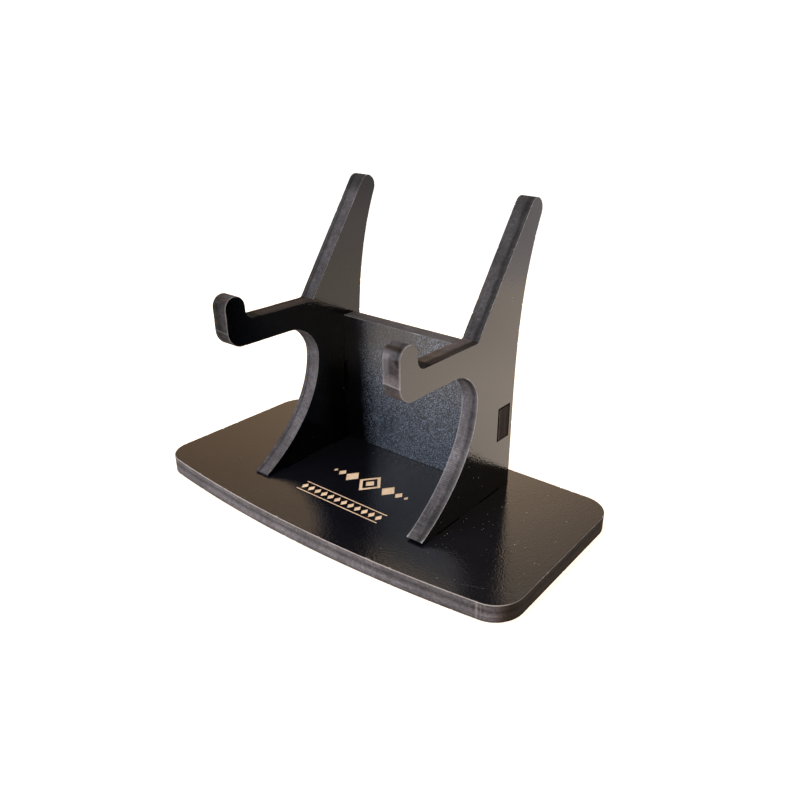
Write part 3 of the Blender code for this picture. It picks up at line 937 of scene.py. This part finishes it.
def base_tones(s, t, u, v, nu, nv, number):
    across = t / HALF                            # +1 at the top
    n, b, d = Noise1(41), Noise2(43), Noise1(44)
    wander = 0.07 * n(s / 14)
    layer = 1 - 0.46 * np.exp(-((across - 0.28 + wander) / 0.20) ** 2)
    layer = layer + 0.26 * np.exp(-((across + 0.28 + wander) / 0.26) ** 2)
    tone = 1.17 * layer * (1 + 0.10 * b(s / 6, across * 1.2) + 0.08 * d(s / 12))
    tone = tone * (1 - 0.45 * smoothstep(-0.62, -1.0, across))
    tone = tone * (1 - 0.05 * (striations(s, t, 7.0) - 0.5))
    front = smoothstep(0.2, 0.8, -nv)
    side = smoothstep(0.45, 0.9, nu)
    # painted shade on the side edge turned to +X, away from the front light; the edge also
    # darkens towards the right
    tone = tone * (1 - 0.84 * side) * (1 - 0.24 * smoothstep(15, 60, u))
    rim = smoothstep(HALF - 0.24, HALF - 0.05, t)
    under = smoothstep(HALF - 0.25, HALF - 0.06, -t)
    # pale top arris, more along the front: part wear, part painted highlight of the front light;
    # a faint pale bottom arris
    pale = (0.20 + 0.42 * front) * rim * (0.85 + 0.15 * n(s / 1.7)) + 0.06 * under
    warm = 0.05 + 0.95 * side + 0.3 * rim
    if number == 0:
        for at, width, gain in ((65.6, 0.34, 0.30), (66.9, 0.14, 0.14), (68.2, 0.12, 0.10),
                                (-61.0, 0.20, 0.10)):
            streak = np.exp(-((u - at) / width) ** 2) * (nv < -0.3)
            pale = pale + gain * streak * (0.7 + 0.3 * n(t / 0.5))
    else:
        # painted shade on the walls of the slots
        tone = tone * 0.4
        pale = pale * 0
    return tone, pale, warm


def base_relief(s, t, u, v, nu, nv, number):
    return cut_relief(s, t, 0.012, 7.0)


def panel_tones(s, t, u, v, nu, nv, number):
    b = Noise2(53)
    tone = 0.64 * (1 + 0.14 * b(s / 3, t * 0.7))
    grain = Noise1(54)
    tab = np.abs(u) > 31.6
    end = tab * (np.abs(nu) > 0.8)
    # painted shade on the tabs' faces inside the slots
    tone = tone * (1 - tab * (1 - end) * 0.92)
    tone = tone * (1 - end * (0.57 - 0.20 * grain(t / 0.42)))
    # pale top arris, part wear and part painted highlight
    rim = smoothstep(HALF - 0.24, HALF - 0.05, np.abs(t)) * (v > 55.2)
    pale = 0.16 * rim
    chip = np.exp(-((u - 2.4) / 1.5) ** 2) * (v > 55) * (t > HALF - 0.5)
    pale = pale + 0.10 * end * smoothstep(HALF - 0.7, HALF - 0.35, t) * (t < HALF - 0.05)
    return tone, pale + 0.35 * chip, 0.02 + 0.98 * end


def panel_relief(s, t, u, v, nu, nv, number):
    depth = cut_relief(s, t, 0.010, 90.0)
    bite = np.exp(-((u - 2.6) / 1.6) ** 2) * (v > 55) * smoothstep(HALF - 0.9, HALF, t)
    return depth + 0.22 * bite


face_base = laminate("base_face", (0.0032, 0.0035, 0.0056), 0.10, 0.000038,
                     scale=2100.0, scratches=[
    ((55.3, -31.1), (60.1, -29.0), 0.10), ((60.1, -29.0), (65.7, -27.1), 0.08),
    ((65.7, -27.1), (71.1, -25.2), 0.10), ((66.5, -22.0), (69.8, -26.8), 0.07),
    ((-68.0, -8.0), (-60.5, -12.5), 0.06)])
face_left = laminate("left_support_face", (0.0003, 0.0003, 0.0004), 0.09, 0.000034,
                     scale=2100.0, level=0.20, shift=0.11, calm=(70.0, 78.0, 0.28))
face_right = laminate("right_support_face", (0.0024, 0.0034, 0.0046), 0.11, 0.000038,
                      scale=2100.0, level=0.350, shift=0.23, calm=(30.0, 40.0, 0.28))
# a less reflective copy of the right support's laminate for its inner face: painted shade
# between the two supports
face_inner = laminate("right_support_inner_face", (0.0003, 0.0003, 0.0004), 0.08, 0.000030,
                      scale=1800.0, level=0.10, shift=0.29)
face_panel = laminate("back_panel_face", (0.0036, 0.0046, 0.0080), 0.30, 0.000055,
                      scale=2600.0, level=0.36, shift=0.37, glint_flecks=(0.135, 0.170, 0.228))
edge_x = cut_edge("support_cut_edge", 0)
edge_z = cut_edge("base_cut_edge", 2, streaks=0.10, bare_and_highlight=(0.47, 0.43, 0.41))
edge_y = cut_edge("panel_cut_edge", 1)
fibre = engraved("engraved_fibre")
dust = dust_material("dust")


def finish_piece(ob, node_name):
    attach(ob, "root")
    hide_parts(node_name)
    return ob


# base plate
base_holes = []
for side in (-1, 1):
    for front, back in SUPPORT_TABS:
        x = side * 34.5
        base_holes.append(rectangle_hole(x - HALF - GAP, x + HALF + GAP,
                                         BASE_BACK_Y + front - GAP, BASE_BACK_Y + back + GAP))


def place_base(u, v, t):
    return np.stack([u, v, t + HALF], 1)


specks = [(53.3, 14.0, .105), (55.1, 9.3, .090), (66.4, 17.4, .105), (69.3, 5.0, .090),
          (59.7, -4.1, .125), (69.4, -8.6, .101), (45.0, 11.9, .095), (45.4, 15.0, .095),
          (50.6, -31.8, .109), (48.5, 0.9, .094), (39.7, -12.1, .125), (70.9, -8.6, .086),
          (69.6, -15.0, .086), (55.1, -29.3, .086), (-14.2, 14.2, .101), (-11.2, 14.6, .086),
          (28.3, -30.5, .086), (-44.0, -22.0, .069), (45.2, 16.8, .075), (46.5, 1.7, .080),
          (43.7, 5.2, .085), (45.7, -0.6, .085), (54.7, 17.8, .070), (63.1, -3.4, .070),
          (58.7, -8.3, .080), (61.3, -21.3, .070)]
for _ in range(48):
    specks.append((39.5 + 32.5 * rng.uniform(0, 1) ** 1.6, rng.uniform(-28, 28),
                   rng.uniform(.040, .068)))
for _ in range(22):
    specks.append((rng.uniform(-72, 20), rng.uniform(-32, 30), rng.uniform(.040, .064)))
specks = [k for i, k in enumerate(specks)
          if not (abs(abs(k[0]) - 34.5) < 4.2 and -24 < k[1] < 28)
          and not (i > 17 and abs(k[0]) < 20 and -23 < k[1] < 4)
          and not (abs(k[0]) < 33 and 18.5 < k[1] < 27)
          and all(math.hypot(k[0] - q[0], k[1] - q[1]) > 0.6 for q in specks[:i])]
mesh, sharp = board("base_plate", base_profile(), base_holes, place_base, base_relief,
                    base_tones, lambda u, v, nu, nv: np.ones(len(u)), engraving=ornament,
                    nibs=specks, seed=101)
base = mesh.build("base_plate_board", [face_base, edge_z, fibre, dust], sharp)
finish_piece(base, "base_plate")

# supports
for side, label, face in ((-1, "left", face_left), (1, "right", face_right)):
    profile = support_profile(6.72 if side < 0 else 6.98, side > 0)
    slot = rectangle_hole(SLOT_D[0], SLOT_D[1], SLOT_Z[0], SLOT_Z[1])
    if side > 0:
        spots = [(22.8, 73.0, .16), (23.2, 73.9, .10), (8.1, 16.4, .12),
                 (2.2, 23.0, .11), (5.2, 17.5, .08), (12.0, 40.0, .06), (17.0, 58.0, .06),
                 (10.5, 12.0, .07), (-3.0, 14.0, .08), (-12.5, 9.6, .09)]
    else:
        spots = [(17.8, 26.9, .14), (14.1, 8.4, .08), (0.8, 12.5, .07)]
    spots = [(y - BASE_BACK_Y, z, size) for y, z, size in spots]
    mesh, sharp = board(label + "_support", profile, [slot], place_support(side),
                        support_relief(side), support_tones(side),
                        lambda u, v, nu, nv: v > 6.5, step=0.2, nibs=spots,
                        seed=200 + side, low_face=4 if side > 0 else 0,
                        whole=[(-33.2, 64.2, 4.0), (-47.0, 64.2, 3.0)] if side < 0
                        else [(-55.0, 64.0, 8.0)])
    ob = mesh.build(label + "_support_board", [face, edge_x, fibre, dust, face_inner], sharp)
    finish_piece(ob, label + "_support")

# cross panel
middle = BASE_BACK_Y + PANEL_FRONT + HALF


def place_panel(u, v, t):
    return np.stack([u, middle - t, v], 1)


mesh, sharp = board("back_panel", panel_profile(), [], place_panel, panel_relief,
                    panel_tones, lambda u, v, nu, nv: v > 55.2,
                    nibs=[(-9.3, 7.0, .14), (4.0, 8.1, .07), (-14.0, 44.0, .06)], seed=301)
panel = mesh.build("back_panel_board", [face_panel, edge_y, fibre, dust], sharp)
finish_piece(panel, "back_panel")


# ---------------------------------------------------------------- stage
def floor_sheet():
    """Plain pale floor, a sheet that also glows softly, a little more at the back right:
    painted light that keeps contact shadows faint. The pale horizon continues it.
    It lies a hair under the board, whose underside would share its plane otherwise."""
    around = 96
    radii = (0.10, 0.18, 0.26, 0.34)
    low = -0.00005
    verts, faces = [(0, 0, low)], []
    for r in radii:
        for j in range(around):
            a = 2 * math.pi * j / around
            verts.append((r * math.cos(a), r * math.sin(a), low))
    for j in range(around):
        faces.append((0, 1 + j, 1 + (j + 1) % around))
    for i in range(len(radii) - 1):
        a, b = 1 + i * around, 1 + (i + 1) * around
        for j in range(around):
            k = (j + 1) % around
            faces.append((a + j, b + j, b + k, a + k))
    me = bpy.data.meshes.new("floor")
    me.from_pydata(verts, [], faces)
    m, tree, shader = new_material("pale_floor")
    shader.inputs["Base Color"].default_value = (0.56, 0.525, 0.48, 1)
    shader.inputs["Emission Color"].default_value = (1.0, 0.83, 0.71, 1)
    away = node(tree, "ShaderNodeVectorMath", operation="DISTANCE")
    tree.links.new(node(tree, "ShaderNodeTexCoord").outputs["Object"], away.inputs[0])
    away.inputs[1].default_value = (0.140, 0.085, 0.0)
    # the glow is a painted pool of light, strongest near the stand's back right and fading
    # outwards
    pool = node(tree, "ShaderNodeMapRange", interpolation_type="SMOOTHERSTEP")
    tree.links.new(away.outputs["Value"], pool.inputs["Value"])
    for key, x in (("From Min", 0.0), ("From Max", 0.11), ("To Min", 1.12), ("To Max", 0.82)):
        pool.inputs[key].default_value = x
    tree.links.new(pool.outputs["Result"], shader.inputs["Emission Strength"])
    shader.inputs["Roughness"].default_value = 0.9
    shader.inputs["IOR"].default_value = 1.2
    me.materials.append(m)
    ob = bpy.data.objects.new("floor", me)
    bpy.context.scene.collection.objects.link(ob)
    return ob


floor_sheet()

world = bpy.data.worlds.new("studio")
bpy.context.scene.world = world
world.use_nodes = True
tree = world.node_tree
background = tree.nodes["Background"]
direction = node(tree, "ShaderNodeTexCoord").outputs["Generated"]


def lobe(vector, power):
    """1 towards a direction, falling off round it."""
    dot = node(tree, "ShaderNodeVectorMath", operation="DOT_PRODUCT")
    tree.links.new(direction, dot.inputs[0])
    dot.inputs[1].default_value = Vector(vector).normalized()
    value = math_node(tree, "MAXIMUM", dot.outputs["Value"], 0.0)
    return math_node(tree, "POWER", value, power)


def add_light(total, factor, colour):
    tinted = mix_colour(tree, 1.0, factor, colour, "MULTIPLY")
    return mix_colour(tree, 1.0, total, tinted, "ADD")


def above(low, high):
    """0 below one height on the sphere of directions, 1 above another."""
    n = node(tree, "ShaderNodeMapRange", interpolation_type="SMOOTHSTEP")
    tree.links.new(split.outputs["Z"], n.inputs["Value"])
    n.inputs["From Min"].default_value, n.inputs["From Max"].default_value = low, high
    return n.outputs["Result"]


def bearing(azimuth, elevation):
    """Direction from an azimuth measured from +Y towards +X, in degrees."""
    a, e = math.radians(azimuth), math.radians(elevation)
    return (math.sin(a) * math.cos(e), math.cos(a) * math.cos(e), math.sin(e))


split = node(tree, "ShaderNodeSeparateXYZ")
tree.links.new(direction, split.inputs[0])
total = ramp_node(tree, range_node(tree, split.outputs["Z"], -0.2, 1.0, 0.0, 1.0),
                  [(0.0, (1.30, 1.27, 1.23)), (0.24, (1.25, 1.22, 1.18)),
                   (0.35, (0.25, 0.16, 0.09)), (0.60, (0.25, 0.17, 0.11)),
                   (0.75, (0.36, 0.32, 0.28)), (1.0, (1.20, 1.12, 1.02))])
total = add_light(total, lobe(bearing(-32, 24), 40.0), (1.15, 0.87, 0.61))
# low behind the stand the horizon is warm, and darker a little above it
total = mix_colour(tree, lobe(bearing(37, -13), 30.0), total, (1.68, 1.40, 1.26))
total = mix_colour(tree, math_node(tree, "MULTIPLY", lobe(bearing(29, -8), 60.0),
                                   above(-0.31, -0.19)), total, (0.98, 0.88, 0.88))
total = mix_colour(tree, math_node(tree, "MULTIPLY", lobe(bearing(40, -6), 20.0),
                                   above(-0.175, -0.13)), total, (1.02, 0.90, 0.92))
total = add_light(total, lobe(bearing(-54, 22), 40.0), (0.33, 0.21, 0.11))
# seen directly the room is a plain pale backdrop
straight = node(tree, "ShaderNodeLightPath").outputs["Is Camera Ray"]
total = mix_colour(tree, straight, total, (1.22, 1.19, 1.15))
tree.links.new(total, background.inputs["Color"])
background.inputs["Strength"].default_value = 1.0


def softbox(name, at, aim, size, radiance, colour):
    data = bpy.data.lights.new(name, "AREA")
    data.shape = "RECTANGLE"
    data.size, data.size_y = size
    data.energy = radiance * math.pi * size[0] * size[1]
    data.color = colour
    ob = bpy.data.objects.new(name, data)
    bpy.context.scene.collection.objects.link(ob)
    ob.location = at
    ob.rotation_mode = "QUATERNION"
    ob.rotation_quaternion = (Vector(at) - Vector(aim)).to_track_quat("Z", "Y")
    return ob


softbox("window", (-0.80, -1.20, 0.52), (0, 0, 0.05), (2.0, 0.95), 3.1, (0.84, 0.94, 1.10))
softbox("overhead", (-0.20, -0.105, 0.80), (-0.20, -0.105, 0.0), (1.5, 1.3), 2.05,
        (1.0, 0.93, 0.84))

# ---------------------------------------------------------------- camera
data = bpy.data.cameras.new("camera")
camera = bpy.data.objects.new("camera", data)
bpy.context.scene.collection.objects.link(camera)
data.sensor_width = 36.0
data.lens = 32.744
data.shift_x, data.shift_y = -0.0819, 0.0383
data.clip_start, data.clip_end = 0.01, 20.0
right = Vector((0.81974, 0.57184, 0.03194)).normalized()
back = Vector((0.50183, -0.74402, 0.44113)).normalized()
up = back.cross(right).normalized()
right = up.cross(back).normalized()
camera.matrix_world = Matrix.Translation((0.150375, -0.167848, 0.136244)) @ \
    Matrix((right, up, back)).transposed().to_4x4()
bpy.context.scene.camera = camera
bpy.context.scene.view_settings.view_transform = "Standard"
bpy.context.scene.view_settings.look = "None"

bpy.context.view_layer.update()
